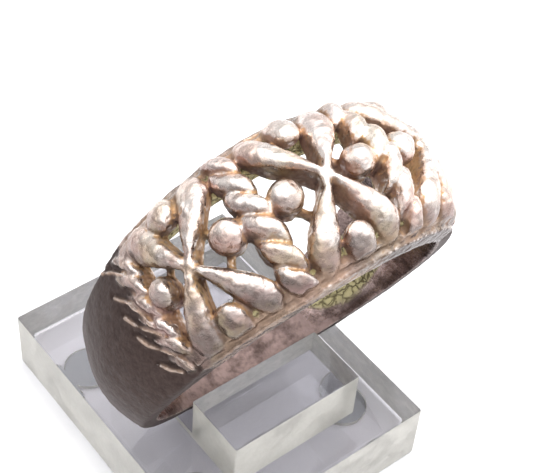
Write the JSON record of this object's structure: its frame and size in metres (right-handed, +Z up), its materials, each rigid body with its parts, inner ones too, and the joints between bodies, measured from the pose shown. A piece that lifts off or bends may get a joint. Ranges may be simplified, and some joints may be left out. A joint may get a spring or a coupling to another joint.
{
  "type": "cutout cross ring on clear stand",
  "caption": "Cast silver finger ring with a pierced crown of crosses, beads and twisted bars, leaning in the slot of a clear block on a clear base plate.",
  "frame": {"origin": "middle of the base plate's underside", "axes": "+Z up; +X to the right across the front of the ring, along its slot; -Y is the front, towards which the ring leans and its crown's near rim shows"},
  "size_m": [0.0202, 0.0207, 0.0262],
  "materials": {
    "silver": "cast sterling silver, satin, worn bright on the raised shapes and toned brown to black in the recesses",
    "clear_acrylic": "clear polished acrylic"
  },
  "bodies": {
    "root": {"ring": "silver", "stand_block": "clear_acrylic", "stand_base": "clear_acrylic"}
  },
  "joints": []
}
